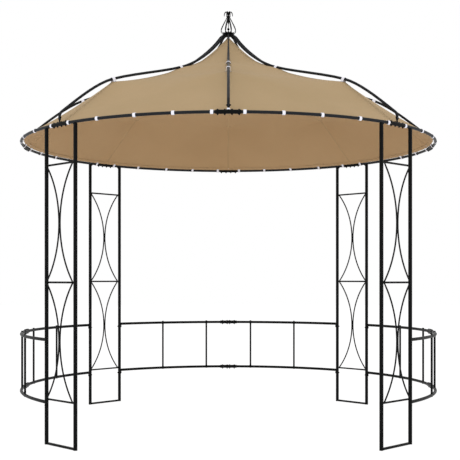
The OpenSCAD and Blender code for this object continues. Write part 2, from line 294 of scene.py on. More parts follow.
# %% Floor
FLOOR_GLOW = 0.93
FLOOR_SHADING = 0.14
FLOOR_R = 30
FLOOR_GAP = 0.5 * MM  # just under the feet, so that no two faces share a plane
floor_paint = new_material("white_studio_floor")
paint = add_node(floor_paint, "ShaderNodeBsdfDiffuse", inputs={"Color": linear("#f2f2f2")})
faint = add_node(floor_paint, "ShaderNodeBsdfDiffuse", inputs={"Color": [FLOOR_SHADING] * 3 + [1]})
glow = add_node(floor_paint, "ShaderNodeEmission",
                inputs={"Color": linear("#ffffff"), "Strength": FLOOR_GLOW})
shown = add_node(floor_paint, "ShaderNodeAddShader",
                 inputs={0: faint.outputs[0], 1: glow.outputs[0]})
mixed = add_node(floor_paint, "ShaderNodeMixShader",
                 inputs={0: seen_directly(floor_paint), 1: paint.outputs[0], 2: shown.outputs[0]})
output(floor_paint, mixed.outputs[0])

bpy.ops.object.select_all(action="DESELECT")
bpy.ops.mesh.primitive_circle_add(vertices=64, radius=FLOOR_R, fill_type="NGON",
                                  location=(0, 0, -FLOOR_GAP))
floor = newest("floor")
floor.data.materials.append(floor_paint)
print("floor made")

# %% [markdown]
# ## The frame's finish: satin black powder coat
# The tubes are mild steel, sprayed with a dry paint powder and baked. That leaves a black that is
# a little softer than gloss, with the fine orange-peel skin of molten powder. Its bumps are about
# 1.5 mm apart and a few hundredths deep, too fine for a view of the whole gazebo, so they are
# drawn 9 mm apart and shallow. A larger noise lets the gloss and the black vary a little, as they
# do where the powder fell thicker. The ring's and the ribs' tubes are painted a shade greyer than
# the rest, a painted highlight for the light that these upward-facing tubes catch. The bolts and
# nuts are zinc plated and then blackened, which is a touch glossier than the powder.


# %% Powder-coated steel
PEEL_SPACING = 9 * MM
COAT_CLOUDS = 70 * MM


def powder_coat(name, colour, worn_colour, rough_low, rough_high):
    material = new_material(name)
    place = add_node(material, "ShaderNodeTexCoord")
    peel = add_node(material, "ShaderNodeTexNoise",
                    inputs={"Vector": place.outputs["Object"], "Scale": 1 / PEEL_SPACING,
                            "Detail": 0.0})
    bump = add_node(material, "ShaderNodeBump",
                    inputs={"Height": peel.outputs["Fac"], "Strength": 0.12, "Distance": 0.2 * MM})
    cloud = add_node(material, "ShaderNodeTexNoise",
                     inputs={"Vector": place.outputs["Object"], "Scale": 1 / COAT_CLOUDS,
                             "Detail": 3.0})
    gloss = add_node(material, "ShaderNodeMapRange",
                     inputs={"Value": cloud.outputs["Fac"], "From Min": 0.3, "From Max": 0.7,
                             "To Min": rough_low, "To Max": rough_high})
    tone = add_node(material, "ShaderNodeMix", {"data_type": "RGBA"},
                    {0: cloud.outputs["Fac"], 6: linear(colour), 7: linear(worn_colour)})
    coat = add_node(material, "ShaderNodeBsdfPrincipled",
                    inputs={"Base Color": tone.outputs[2], "Roughness": gloss.outputs[0],
                            "Specular IOR Level": 0.08, "Normal": bump.outputs[0]})
    return output(material, coat.outputs[0])


black_steel = powder_coat("powder_coated_steel", "#040505", "#08090a", 0.38, 0.5)
# a greyer copy of the same black coat: painted highlight for the ring and the ribs
roof_tubes_painted_highlight = powder_coat("powder_coat_painted_highlight", "#1b1c1f", "#242629", 0.38, 0.5)
black_zinc = powder_coat("black_zinc_plated_fasteners", "#040404", "#08080a", 0.32, 0.45)

coated = 0
for name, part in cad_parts.items():
    slot = part.material_slots[0]
    if slot.material.name.startswith("black_frame"):
        # the ring's segments get the copy with the painted highlight
        slot.material = roof_tubes_painted_highlight if name.startswith("ring_segment") else black_steel
        coated += 1
print("powder coat on", coated, "parts")

# %% [markdown]
# ## The canopy's cloth
# The roof is plain-woven polyester with a water-repellent coat on its inner side. Its real
# threads are half a millimetre apart, which no view of the whole roof can show, so the weave is
# drawn 4 mm coarse and shallow. The pattern follows the cloth's own map, in metres, so that each
# gore's threads run straight up its middle as it was cut. The inner side is painted warmer and
# lighter, painted light for the shaded underside, and a little light comes through the cloth.


# %% Woven polyester
WEAVE_PITCH = 4 * MM
SLUBS = 12 * MM
CLOTH_CLOUDS = 450 * MM


def bands_scale(pitch):
    """The scale that sets a wave texture's bands one pitch apart."""
    return math.tau / 20 / pitch


def canvas(name, dark, light, glow_colour, through):
    material = new_material(name)
    cloth_map = add_node(material, "ShaderNodeUVMap", {"uv_map": "cloth"})
    threads = []
    for direction in ("X", "Y"):
        threads.append(add_node(material, "ShaderNodeTexWave",
                                {"wave_type": "BANDS", "bands_direction": direction},
                                {"Vector": cloth_map.outputs[0], "Scale": bands_scale(WEAVE_PITCH),
                                 "Distortion": 0.6, "Detail": 1.0, "Detail Scale": 0.4}))
    weave = add_node(material, "ShaderNodeMath", {"operation": "MULTIPLY"},
                     {0: threads[0].outputs["Fac"], 1: threads[1].outputs["Fac"]})
    place = add_node(material, "ShaderNodeTexCoord")
    cloud = add_node(material, "ShaderNodeTexNoise",
                     inputs={"Vector": place.outputs["Object"], "Scale": 1 / CLOTH_CLOUDS,
                             "Detail": 3.0})
    slub = add_node(material, "ShaderNodeTexNoise",
                    inputs={"Vector": place.outputs["Object"], "Scale": 1 / SLUBS, "Detail": 2.0})
    shade = add_node(material, "ShaderNodeMath", {"operation": "MULTIPLY_ADD"},
                     {0: weave.outputs[0], 1: 0.25, 2: cloud.outputs["Fac"]})
    shade = add_node(material, "ShaderNodeMath", {"operation": "MULTIPLY_ADD"},
                     {0: slub.outputs["Fac"], 1: 0.2, 2: shade.outputs[0]})
    share = add_node(material, "ShaderNodeMapRange",
                     inputs={"Value": shade.outputs[0], "From Min": 0.35, "From Max": 0.95})
    tone = add_node(material, "ShaderNodeMix", {"data_type": "RGBA"},
                    {0: share.outputs[0], 6: linear(dark), 7: linear(light)})
    bump = add_node(material, "ShaderNodeBump",
                    inputs={"Height": weave.outputs[0], "Strength": 0.3, "Distance": 0.25 * MM})
    cloth = add_node(material, "ShaderNodeBsdfPrincipled",
                     inputs={"Base Color": tone.outputs[2], "Roughness": 0.85,
                             "Specular IOR Level": 0.08, "Sheen Weight": 0.03,
                             "Sheen Roughness": 0.5, "Normal": bump.outputs[0]})
    shine_through = add_node(material, "ShaderNodeBsdfTranslucent",
                             inputs={"Color": linear(glow_colour)})
    both = add_node(material, "ShaderNodeMixShader",
                    inputs={0: through, 1: cloth.outputs[0], 2: shine_through.outputs[0]})
    return output(material, both.outputs[0])


canvas_outside = canvas("woven_polyester_outside", "#b09873", "#b89f7b", "#c9a574", 0.12)
# the inner side: the same cloth painted warmer and lighter, painted light for the shaded underside
canvas_inside_painted_light = canvas("polyester_inside_painted_light", "#bb9a71", "#c2a178", "#d9a878", 0.14)
# the inner seam tapes: less light through, and a darker colour that is painted shade along the ribs
seam_painted_shade = canvas("doubled_polyester_seams_painted_shade", "#b3936b", "#ba9a72", "#a37f57", 0.04)

# %% [markdown]
# ## The straps' webbing
# White polyester webbing, 18 mm wide round the ring and 22 mm wide over the ribs, woven in fine
# ribs across its width. They are about 1 mm apart on a real strap and drawn 2.5 mm apart, along
# each strap's own map.


# %% White webbing
WEBBING_PITCH = 2.5 * MM


def webbing_material():
    material = new_material("white_polyester_webbing")
    strap_map = add_node(material, "ShaderNodeUVMap", {"uv_map": "cloth"})
    ribs = add_node(material, "ShaderNodeTexWave", {"wave_type": "BANDS", "bands_direction": "X"},
                    {"Vector": strap_map.outputs[0], "Scale": bands_scale(WEBBING_PITCH)})
    tone = add_node(material, "ShaderNodeMix", {"data_type": "RGBA"},
                    {0: ribs.outputs["Fac"], 6: linear("#e2e2ee"), 7: linear("#f6f6fc")})
    bump = add_node(material, "ShaderNodeBump",
                    inputs={"Height": ribs.outputs["Fac"], "Strength": 0.4, "Distance": 0.3 * MM})
    cloth = add_node(material, "ShaderNodeBsdfPrincipled",
                     inputs={"Base Color": tone.outputs[2], "Roughness": 0.75,
                             "Specular IOR Level": 0.3, "Normal": bump.outputs[0]})
    return output(material, cloth.outputs[0])


white_webbing = webbing_material()

# %% [markdown]
# ## The canopy's shape
# The cloth is tied to the ring all round its hem and to each rib at two places, and it ends under
# the crown. Between two ties it hangs, so its line under a rib is three stretches: nearly
# straight from the hem to the outer tie, a shallow sag to the inner tie, and a deep one up to the
# crown. From rib to rib it is pulled straight, so above the round hem it is an eight-sided tent.
# One function gives the cloth's point for any place along that line and round the circle. To it
# are added what makes it cloth: the hem drawn in between ties, small folds that fan out from each
# tie, a slack middle in each gore, and a slight unevenness.

# %% The cloth's line and its ties
HEM_LIFT = 9.5 * MM
TIE_R = [1072 * MM, 460 * MM]
TIE_H = [341 * MM, 519 * MM]
TIE_SLOPES = [math.radians(20.3), math.radians(19.2)]
TIE_DROPS = [18 * MM, 10.3 * MM]
STOPS = [
    Vector((hem_r, HEM_LIFT)),
    Vector((TIE_R[0], TIE_H[0] - TIE_DROPS[0])),
    Vector((TIE_R[1], TIE_H[1] - TIE_DROPS[1])),
    Vector((0, cloth_top_z - ring_z)),
]
MID_SAG = 18 * MM
TOP_SLOPES = [math.radians(20), math.radians(47)]
TOP_HANDLE = 0.4  # of the straight way to the crown: how far each end of the curve pulls
# Five straps on either side of each rib that stands between two legs
RING_TIES_FROM_AXIS = [math.radians(angle) for angle in (3.7, 12.5, 21.8, 32.1, 41.5)]
RING_TIE_STEP = (RING_TIES_FROM_AXIS[-1] - RING_TIES_FROM_AXIS[0]) / (len(RING_TIES_FROM_AXIS) - 1)
ring_tie_azimuths = sorted(
    (quarter * math.pi / 2 + side * angle) % math.tau
    for quarter in range(4) for side in (1, -1) for angle in RING_TIES_FROM_AXIS
)
hem_slope = math.atan2(STOPS[1].y - STOPS[0].y, STOPS[0].x - STOPS[1].x)
print(f"hem radius {hem_r / MM:.0f} mm, slope at the hem {math.degrees(hem_slope):.1f} degrees")


def inward(slope):
    return Vector((-math.cos(slope), math.sin(slope)))


handle = TOP_HANDLE * (STOPS[3] - STOPS[2]).length
TOP_CURVE = [STOPS[2], STOPS[2] + handle * inward(TOP_SLOPES[0]),
             STOPS[3] - handle * inward(TOP_SLOPES[1]), STOPS[3]]

# %% [markdown]
# `profile` walks along that line, `plain_point` carries it round the circle, and `relief` says
# how far the cloth stands above or below there. `cloth_point` puts them together, and everything
# that is sewn on the cloth asks it for a place. Of each fold the numbers give its height, then
# how soon it fades and where nothing is left of it, all in metres along the cloth.


# %% The cloth's surface
HEM_DRAWN_IN = 4 * MM
HEM_DRAWN_REACH = 0.05
FOLD_HEIGHT, FOLD_REACH, FOLD_END = 3.5 * MM, 0.11, 0.6
FOLD_WIDTH, FOLD_SPREAD = 14 * MM, 0.22
FAN_HEIGHT, FAN_START, FAN_REACH, FAN_END = 2.6 * MM, 0.03, 0.12, 0.45
FAN_FOLDS = 7
GORE_SLACK, FULL_SLACK_R = 5 * MM, 0.3
CREASE_LENGTH = 240 * MM
PULLED_UP, PULLED_UP_R, PULLED_UP_REACH = 9 * MM, 0.475, 0.09
BESIDE_RIB, BESIDE_RIB_REACH = (8 * MM, 18 * MM), 0.06
UNEVEN, BROAD_WAVES, FINE_WAVES = 2.5 * MM, 3.1, 8.3
NEAR_THE_TOP = 2.97
STEP_UP, STEP_ROUND = 0.01, 0.004


def sharp_profile(along):
    """Radius and height over the ring. Along is 0 at the hem, 1, 2 at the ties, 3 at the crown."""
    if along < 1:
        return STOPS[0] + (STOPS[1] - STOPS[0]) * along
    if along < 2:
        share = along - 1
        return STOPS[1].lerp(STOPS[2], share) - Vector((0, 4 * MID_SAG * share * (1 - share)))
    t = along - 2
    weights = [(1 - t) ** 3, 3 * t * (1 - t) ** 2, 3 * t * t * (1 - t), t**3]
    return sum((point * w for point, w in zip(TOP_CURVE, weights)), Vector((0, 0)))


def profile(along, softness=0.0):
    """The same line with the bend at the outer tie rounded off, as it is away from the ribs."""
    reach = 0.001 + softness * CREASE_LENGTH
    reach_out = reach / (STOPS[1] - STOPS[0]).length
    reach_in = reach / (STOPS[2] - STOPS[1]).length
    if not 1 - reach_out < along < 1 + reach_in:
        return sharp_profile(along)
    u = (along - 1 + reach_out) / (reach_out + reach_in)
    before, after = sharp_profile(1 - reach_out), sharp_profile(1 + reach_in)
    return before * (1 - u) ** 2 + STOPS[1] * (2 * u * (1 - u)) + after * u * u


def gore_angle(azimuth):
    """Angle from the middle of the gore."""
    return azimuth % RIB_STEP - RIB_STEP / 2


def plain_point(along, azimuth):
    middle = 1 - abs(gore_angle(azimuth)) / (RIB_STEP / 2)
    point = profile(along, middle)
    straight = math.cos(RIB_STEP / 2) / math.cos(gore_angle(azimuth))
    tent = min(max(along, 0), 1)
    r = point.x * (1 + (straight - 1) * tent)
    turn = ENTRANCE + azimuth
    return Vector((r * math.cos(turn), r * math.sin(turn), ring_z + point.y))


def plain_normal(along, azimuth):
    """Straight up from the cloth, measured within one gore because its shape bends at the ribs."""
    along = min(along, NEAR_THE_TOP)
    here = plain_point(along, azimuth)
    up_the_cloth = plain_point(along + STEP_UP, azimuth) - here
    side = 1 if gore_angle(azimuth) < 0 else -1
    across = (plain_point(along, azimuth + side * STEP_ROUND) - here) * side
    normal = across.cross(up_the_cloth).normalized()
    return normal if normal.z > 0 else -normal


def relief(along, azimuth):
    """How far the cloth stands proud of its plain shape."""
    point = sharp_profile(along)
    from_hem = (STOPS[0] - point).length
    to_rib = (RIB_STEP / 2 - abs(gore_angle(azimuth))) * point.x
    # each gore is slack in its middle
    middle = 1 - (gore_angle(azimuth) / (RIB_STEP / 2)) ** 2
    height = -GORE_SLACK * middle * abs(math.sin(math.pi * along)) * min(1, point.x / FULL_SLACK_R)
    # one fold goes up from each tie at the ring, and gets wider and flatter on its way
    if from_hem < FOLD_END:
        nearest = min(abs(azimuth % math.tau - tie) for tie in ring_tie_azimuths) * point.x
        width = FOLD_WIDTH + FOLD_SPREAD * from_hem
        fold = math.exp(-((nearest / width) ** 2)) * math.exp(-from_hem / FOLD_REACH)
        height += FOLD_HEIGHT * fold
    # folds fan out from each tie at a rib
    for stop in (1, 2):
        run = (point - STOPS[stop]).length * (1 if along > stop else -1)
        reach = math.hypot(run, to_rib)
        if reach < FAN_END:
            fan = math.cos(FAN_FOLDS * math.atan2(to_rib, run)) * (1 - math.exp(-reach / FAN_START))
            height += FAN_HEIGHT * fan * math.exp(-reach / FAN_REACH)
    # the inner tie pulls the cloth up on both sides of the rib
    near, far = BESIDE_RIB
    beside = min(max((to_rib - near) / (far - near), 0), 1)
    beside *= math.exp(-max(to_rib - far, 0) / BESIDE_RIB_REACH)
    height += PULLED_UP * beside * math.exp(-(((point.x - PULLED_UP_R) / PULLED_UP_REACH) ** 2))
    # and no cloth is quite even
    here = plain_point(along, azimuth)
    wave = noise.noise(here * BROAD_WAVES) + 0.5 * noise.noise(here * FINE_WAVES)
    return height + UNEVEN * wave * min(1, from_hem / 0.1) * min(1, to_rib / 0.06)


def cloth_point(along, azimuth, proud=0.0):
    """A point of the finished cloth, moved off it by proud."""
    between = min(abs(azimuth % math.tau - tie) for tie in ring_tie_azimuths + [0, math.tau])
    drawn = 0.5 - 0.5 * math.cos(math.tau * min(between / RING_TIE_STEP, 0.5))
    from_hem = (STOPS[0] - sharp_profile(along)).length
    drawn_in = HEM_DRAWN_IN * drawn * math.exp(-from_hem / HEM_DRAWN_REACH) if along < 1 else 0
    turn = ENTRANCE + azimuth
    inwards = Vector((-math.cos(turn), -math.sin(turn), 0)) * drawn_in
    return (plain_point(along, azimuth) + inwards
            + plain_normal(along, azimuth) * (relief(along, azimuth) + proud))


# %% [markdown]
# A flat grid is the easiest mesh to start from: one direction becomes the way round the circle,
# the other the way from the hem to the crown. `drape` moves each vertex to where a function puts
# it, closes the seam by merging, and writes a map in metres for the weave.


# %% Grids that are moved into place
SAME_PLACE = 0.02 * MM


def drape(name, columns, rows, place, cloth_map):
    bpy.ops.object.select_all(action="DESELECT")
    bpy.ops.mesh.primitive_grid_add(x_subdivisions=columns, y_subdivisions=rows, size=2,
                                    calc_uvs=False)
    piece = newest(name)
    corners = [((v.co.x + 1) / 2, (v.co.y + 1) / 2) for v in piece.data.vertices]
    uv = piece.data.uv_layers.new(name="cloth")
    for face in piece.data.polygons:
        middle = sum(corners[v][0] for v in face.vertices) / len(face.vertices)
        for loop, vertex in zip(face.loop_indices, face.vertices):
            uv.data[loop].uv = cloth_map(*corners[vertex], middle)
    for vertex, corner in zip(piece.data.vertices, corners):
        vertex.co = place(*corner)
    use(piece)
    bpy.ops.object.mode_set(mode="EDIT")
    bpy.ops.mesh.select_all(action="SELECT")
    bpy.ops.mesh.remove_doubles(threshold=SAME_PLACE)
    bpy.ops.mesh.normals_make_consistent(inside=False)
    bpy.ops.object.mode_set(mode="OBJECT")
    return piece


def face_up(piece):
    """Turns an open sheet over if its faces look down."""
    if sum(face.normal.z * face.area for face in piece.data.polygons) < 0:
        use(piece)
        bpy.ops.object.mode_set(mode="EDIT")
        bpy.ops.mesh.select_all(action="SELECT")
        bpy.ops.mesh.flip_normals()
        bpy.ops.object.mode_set(mode="OBJECT")


def thicken(piece, thickness, offset, second_material=False):
    solid = piece.modifiers.new("thickness", "SOLIDIFY")
    solid.thickness = thickness
    solid.offset = offset
    solid.use_even_offset = False
    if second_material:
        solid.material_offset = 1
        solid.material_offset_rim = 0
    apply_modifiers(piece)


# %% [markdown]
# ## The canopy sheet
# It has 48 columns in each gore and 76 rows, closer together near the hem, where the folds of
# the ties are. The sheet gets a real thickness, with the inner side as its own material, whose
# colour carries painted light.

# %% Canopy
GORE_COLUMNS = 48
CLOTH_ROWS = 76
CLOTH_THICKNESS = 1.0 * MM


def row_to_along(v):
    """Rows are closer together near the hem and spread towards the crown."""
    return 3 * (0.62 * v + 0.38 * v * v)


def sheet_place(u, v):
    return cloth_point(row_to_along(v), u * math.tau if u < 1 else 0.0)


def gore_map(u, v, middle):
    gore = int(middle * RIBS)
    point = profile(row_to_along(v))
    return ((u * RIBS - gore - 0.5) * RIB_STEP * point.x, (STOPS[0] - point).length)


canopy = drape("canopy_sheet", RIBS * GORE_COLUMNS, CLOTH_ROWS, sheet_place, gore_map)
face_up(canopy)
cloth_area = sum(face.area for face in canopy.data.polygons)
canopy.data.materials.append(canvas_outside)
# the second material is the inner side with its painted light
canopy.data.materials.append(canvas_inside_painted_light)
thicken(canopy, CLOTH_THICKNESS, -1, second_material=True)
smooth(canopy, 60)
finish_piece(canopy, None)
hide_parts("canopy")
print(f"cloth area {cloth_area:.2f} square metres")

# %% [markdown]
# ## Hem and seams
# The raw edge is closed with a folded binding of the same cloth, and the eight gores meet in flat
# seams that run along the ribs, doubled by a tape outside and inside. Each is a narrow grid laid
# on the cloth's own surface. Light doesn't come through the doubled cloth, and the inner tapes are
# also painted darker, a painted shade for the shadow and crease along each rib. The binding's faces
# that look down get the inner side's colour, with its painted light.

# %% Hem binding
HEM_WIDTH = 24 * MM
HEM_ROWS = 14
HEM_THICKNESS = 0.7 * MM
FOLD_DEPTH = 2.3 * MM
FOLD_SHARE = 0.2  # of each half of the binding that goes round the edge
stretch_length = (STOPS[1] - STOPS[0]).length


def binding_place(u, v):
    side = 1 if v < 0.5 else -1
    share = abs(v - 0.5) * 2
    azimuth = u * math.tau if u < 1 else 0.0
    if share < FOLD_SHARE:
        turn = math.pi / 2 * share / FOLD_SHARE
        inset = -FOLD_DEPTH * math.cos(turn)
        proud = -CLOTH_THICKNESS / 2 + side * FOLD_DEPTH * math.sin(turn)
    else:
        inset = HEM_WIDTH * (share - FOLD_SHARE) / (1 - FOLD_SHARE)
        proud = -CLOTH_THICKNESS / 2 + side * FOLD_DEPTH
    return cloth_point(inset / stretch_length, azimuth, proud)


hem = drape("canopy_hem", RIBS * GORE_COLUMNS, HEM_ROWS, binding_place,
            lambda u, v, middle: (u * math.tau * hem_r, v * 2 * HEM_WIDTH))
thicken(hem, HEM_THICKNESS, 0)
smooth(hem, 60)
hem.data.materials.append(canvas_outside)
hem.data.materials.append(canvas_inside_painted_light)
# faces that look down get the inner side's colour, which carries painted light
for face in hem.data.polygons:
    face.material_index = 1 if face.normal.z < 0 else 0
finish_piece(hem, None)

# %% [markdown]
# The seams get the same treatment: a narrow grid over each rib line, from the hem to the crown,
# laid half a millimetre off the cloth. The lambda that gives a tape's places keeps its own rib
# number, so that one function makes all eight.


# %% Seam tapes
SEAM_HALF = 8 * MM
SEAM_END = 2.93
SEAM_LENGTH = 1.8
SEAM_ROWS = 110
SEAM_LIFT = 0.5 * MM
TAPE_THICKNESS = 0.6 * MM


def seam_tape(name, proud):
    tapes = []
    for rib in range(RIBS):
        def place(u, v, rib=rib):
            along = SEAM_END * v
            aside = (2 * u - 1) * SEAM_HALF / profile(along).x
            lift = proud * (1.0 if abs(2 * u - 1) < 0.9 else 0.8)  # the edges lie closer
            return cloth_point(along, rib * RIB_STEP + aside, lift)

        tapes.append(drape(f"tape_{rib}", 4, SEAM_ROWS, place,
                           lambda u, v, middle: ((2 * u - 1) * SEAM_HALF, SEAM_LENGTH * v)))
    tape = joined(name, *tapes)
    thicken(tape, TAPE_THICKNESS, 0)
    smooth(tape, 60)
    return tape


outer_seams = seam_tape("canopy_seams_outside", SEAM_LIFT)
finish_piece(outer_seams, canvas_outside)
inner_seams = seam_tape("canopy_seams_inside", -CLOTH_THICKNESS - TAPE_THICKNESS)
# the inner tapes carry the painted shade along each rib
finish_piece(inner_seams, seam_painted_shade)

# %% [markdown]
# ## Straps
# A strap is a flat band that follows a line, so it is made as one: the line is laid out as edges
# in a radial plane, extruded sideways to the webbing's width, and then given its thickness. A tie
# goes from a tab sewn on the cloth, round the tube and back to a tab under the cloth.


# %% Bands from a line
def arc(cx, cz, r, start, end, steps):
    angles = [math.radians(start + (end - start) * i / steps) for i in range(steps + 1)]
    return [(cx + r * math.cos(a), cz + r * math.sin(a)) for a in angles]


def band(name, line, width, thickness, strips=4):
    """A strap along a line of (x, z) points, as wide along Y as given."""
    mesh = bpy.data.meshes.new(name)
    edges = [(i, i + 1) for i in range(len(line) - 1)]
    mesh.from_pydata([(x, -width / 2, z) for x, z in line], edges, [])
    piece = bpy.data.objects.new(name, mesh)
    scene.collection.objects.link(piece)
    use(piece)
    bpy.ops.object.mode_set(mode="EDIT")
    bpy.ops.mesh.select_all(action="SELECT")
    for strip in range(strips):
        bpy.ops.mesh.extrude_region_move(TRANSFORM_OT_translate={"value": (0, width / strips, 0)})
    bpy.ops.mesh.select_all(action="SELECT")
    bpy.ops.mesh.normals_make_consistent(inside=False)
    bpy.ops.object.mode_set(mode="OBJECT")
    lengths = [0.0]
    for a, b in zip(line, line[1:]):
        lengths.append(lengths[-1] + math.dist(a, b))
    uv = mesh.uv_layers.new(name="cloth")
    for face in mesh.polygons:
        for loop, vertex in zip(face.loop_indices, face.vertices):
            uv.data[loop].uv = (lengths[vertex % len(line)], mesh.vertices[vertex].co.y)
    thicken(piece, thickness, 0)
    smooth(piece, 50)
    return piece


# %% [markdown]
# ### Ties round the ring
# Five straps in each eighth of the ring hold the hem. The two beside a joint sleeve are a little
# closer together than the rest. Each is sewn into the hem's fold with both ends and passes round
# the tube with a little slack, so its loop is taller than the tube. They sit slightly askew, as
# tied by hand, with a fixed seed so that each run is alike.

# %% Ties round the ring
STRAP_WIDTH = 22 * MM
RING_STRAP_WIDTH = 18 * MM
STRAP_THICKNESS = 1.3 * MM
STRAP_GAP = 0.3 * MM
LOOP_STRETCH = 1.18
LOOP_STEPS = 18
SEWN_IN = [4 * MM, 2 * MM, 0]
ASKEW = 3
SLID = 1.5
random.seed(7)

loop_r = ring_tube_r + STRAP_GAP + STRAP_THICKNESS / 2
hem_offset = Vector((hem_r - ring_r, HEM_LIFT))
squeezed = Vector((hem_offset.x, hem_offset.y / LOOP_STRETCH))
to_hem = math.degrees(math.atan2(squeezed.y, squeezed.x))
opening = math.degrees(math.acos(loop_r / squeezed.length))
off_the_cloth = Vector((math.sin(hem_slope), math.cos(hem_slope)))
cloth_edge = hem_offset - off_the_cloth * CLOTH_THICKNESS / 2
beside_cloth = off_the_cloth * (CLOTH_THICKNESS + STRAP_THICKNESS) / 2
above, below = [[tuple(edge + inward(hem_slope) * depth) for depth in SEWN_IN]
                for edge in (cloth_edge + beside_cloth, cloth_edge - beside_cloth)]
loop = [(x, z * LOOP_STRETCH)
        for x, z in arc(0, 0, loop_r, to_hem - opening, to_hem + opening - 360, LOOP_STEPS)]
tie = band("tie", above + loop + below[::-1], RING_STRAP_WIDTH, STRAP_THICKNESS)
tie_places = []
for azimuth in ring_tie_azimuths:
    askew = Matrix.Rotation(math.radians(random.uniform(-ASKEW, ASKEW)), 4, "X")
    slid = random.uniform(-SLID, SLID) * MM
    tie_places.append(around(azimuth, ring_r, ring_z, slid) @ askew)
ring_ties = finish_piece(copies("ring_ties", tie, tie_places), white_webbing)
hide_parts("canopy_ties")

# %% [markdown]
# The ties on the ribs are wider than the tube: the strap comes up through the cloth on one side
# of the rib, over the tube and down through the cloth on the other side. Half of each tie's line
# is written in millimetres, from below the cloth up to the top of the tube, and the other half
# is its mirror image.


# %% Ties over the ribs
def line_through(points, steps=4):
    """A smooth line through points, with the first and last stretch straight."""
    ends = [points[0] * 2 - points[1], *points, points[-1] * 2 - points[-2]]
    line = []
    for a, b, c, d in zip(ends, ends[1:], ends[2:], ends[3:]):
        for step in range(steps):
            t = step / steps
            line.append(0.5 * (2 * b + (c - a) * t + (2 * a - 5 * b + 4 * c - d) * t * t
                               + (3 * b - a - 3 * c + d) * t**3))
    return [tuple(point) for point in line + [points[-1]]]


STRAP_R = [1064 * MM, 474 * MM]
TIE_HALF_WIDTHS = [14 * MM, 17 * MM]
OUTER_TIE = [(14.3, -20), (14, -15), (13, -5), (11, 4.5), (7, 9.4), (0, 10.4)]
INNER_TIE = [(18, -9), (16.6, -3.5), (12.5, 4), (8, 8.5), (4, 10.2), (0, 10.4)]
rib_ties = []
for stop, half_line in enumerate([OUTER_TIE, INNER_TIE]):
    right = [Vector(point) * MM for point in half_line]
    left = [Vector((-point.x, point.y)) for point in reversed(right[:-1])]
    tie = band("tie_over_rib", line_through(right + left), STRAP_WIDTH, STRAP_THICKNESS)
    turned = Matrix.Rotation(TIE_SLOPES[stop], 4, "Y") @ Matrix.Rotation(math.pi / 2, 4, "Z")
    rib_z = ring_z + TIE_H[stop] + (TIE_R[stop] - STRAP_R[stop]) * math.tan(TIE_SLOPES[stop])
    places = [around(rib * RIB_STEP, STRAP_R[stop], rib_z) @ turned for rib in range(RIBS)]
    rib_ties.append(copies("ties_over_ribs", tie, places))
rib_ties = finish_piece(joined("rib_ties", *rib_ties), white_webbing)

# %% [markdown]
# ### Ties round the studs
# Under every other rib's foot, where no leg holds the ring, a narrower strap comes out of the
# hem and goes round the stud on which the rib stands. It is the same kind of band, made lying
# down and then turned upright.

# %% Ties round the studs
STUD_TIE_HEIGHT = 8 * MM
STUD_SLACK = 3.4 * MM
STUD_REACH = 36 * MM  # from the stud to the cloth
ENDS_MEET = 30 * MM
END_ASIDE = 1 * MM
OFF_THE_SLEEVE = 0.4 * MM
stud_loop_r = STUD_R + STUD_SLACK
spread = math.degrees(math.acos(stud_loop_r / ENDS_MEET))
stud_line = [(-STUD_REACH, END_ASIDE), (-ENDS_MEET, END_ASIDE)]
stud_line += arc(0, 0, stud_loop_r, 180 - spread, -180 + spread, LOOP_STEPS)
stud_line += [(-ENDS_MEET, -END_ASIDE), (-STUD_REACH, -END_ASIDE)]
tie = band("tie_round_stud", stud_line, STUD_TIE_HEIGHT, STRAP_THICKNESS, strips=2)
upright = Matrix.Rotation(-math.pi / 2, 4, "X")
stud_tie_z = ring_z + sleeve_r + STUD_TIE_HEIGHT / 2 + OFF_THE_SLEEVE
stud_tie_places = [
    around(rib * RIB_STEP, ring_r, stud_tie_z) @ upright for rib in range(0, RIBS, 2)
]
stud_ties = finish_piece(copies("stud_ties", tie, stud_tie_places), white_webbing)

# %% [markdown]
# ## Eyelets
# Where a strap goes through the cloth beside a rib, a pressed and bronzed eyelet keeps it from
# tearing. One rounded ring is made and set beside each rib tie, above and below the cloth.

# %% Eyelets
EYELET_R = 7 * MM
EYELET_ROLL_R = 1.4 * MM
EYELET_FLATTENED = 0.6
STAINS = 4 * MM
bronze = new_material("bronzed_brass_eyelets")
place = add_node(bronze, "ShaderNodeTexCoord")
stain = add_node(bronze, "ShaderNodeTexNoise",
                 inputs={"Vector": place.outputs["Object"], "Scale": 1 / STAINS})
gloss = add_node(bronze, "ShaderNodeMapRange",
                 inputs={"Value": stain.outputs["Fac"], "To Min": 0.25, "To Max": 0.45})
plate = add_node(bronze, "ShaderNodeBsdfPrincipled",
                 inputs={"Base Color": linear("#6e5a42"), "Metallic": 1.0,
                         "Roughness": gloss.outputs[0]})
output(bronze, plate.outputs[0])

bpy.ops.object.select_all(action="DESELECT")
bpy.ops.mesh.primitive_torus_add(major_segments=20, minor_segments=8, major_radius=EYELET_R,
                                 minor_radius=EYELET_ROLL_R)
eyelet = newest("eyelet")
for vertex in eyelet.data.vertices:
    vertex.co.z *= EYELET_FLATTENED
smooth(eyelet)
between_ties = TIE_R[0] - TIE_R[1]
eyelet_along = [1 + (TIE_R[0] - STRAP_R[0]) / between_ties,
                2 - (STRAP_R[1] - TIE_R[1]) / between_ties]
eyelet_places = []
for rib in range(RIBS):
    for strap_r, half_width, along in zip(STRAP_R, TIE_HALF_WIDTHS, eyelet_along):
        for side in (-1, 1):
            azimuth = rib * RIB_STEP + side * half_width / strap_r
            at = cloth_point(along, azimuth, -CLOTH_THICKNESS / 2)
            turned = plain_normal(along, azimuth).to_track_quat("Z", "Y").to_matrix().to_4x4()
            eyelet_places.append(Matrix.Translation(at) @ turned)
finish_piece(copies("canopy_eyelets", eyelet, eyelet_places), bronze)

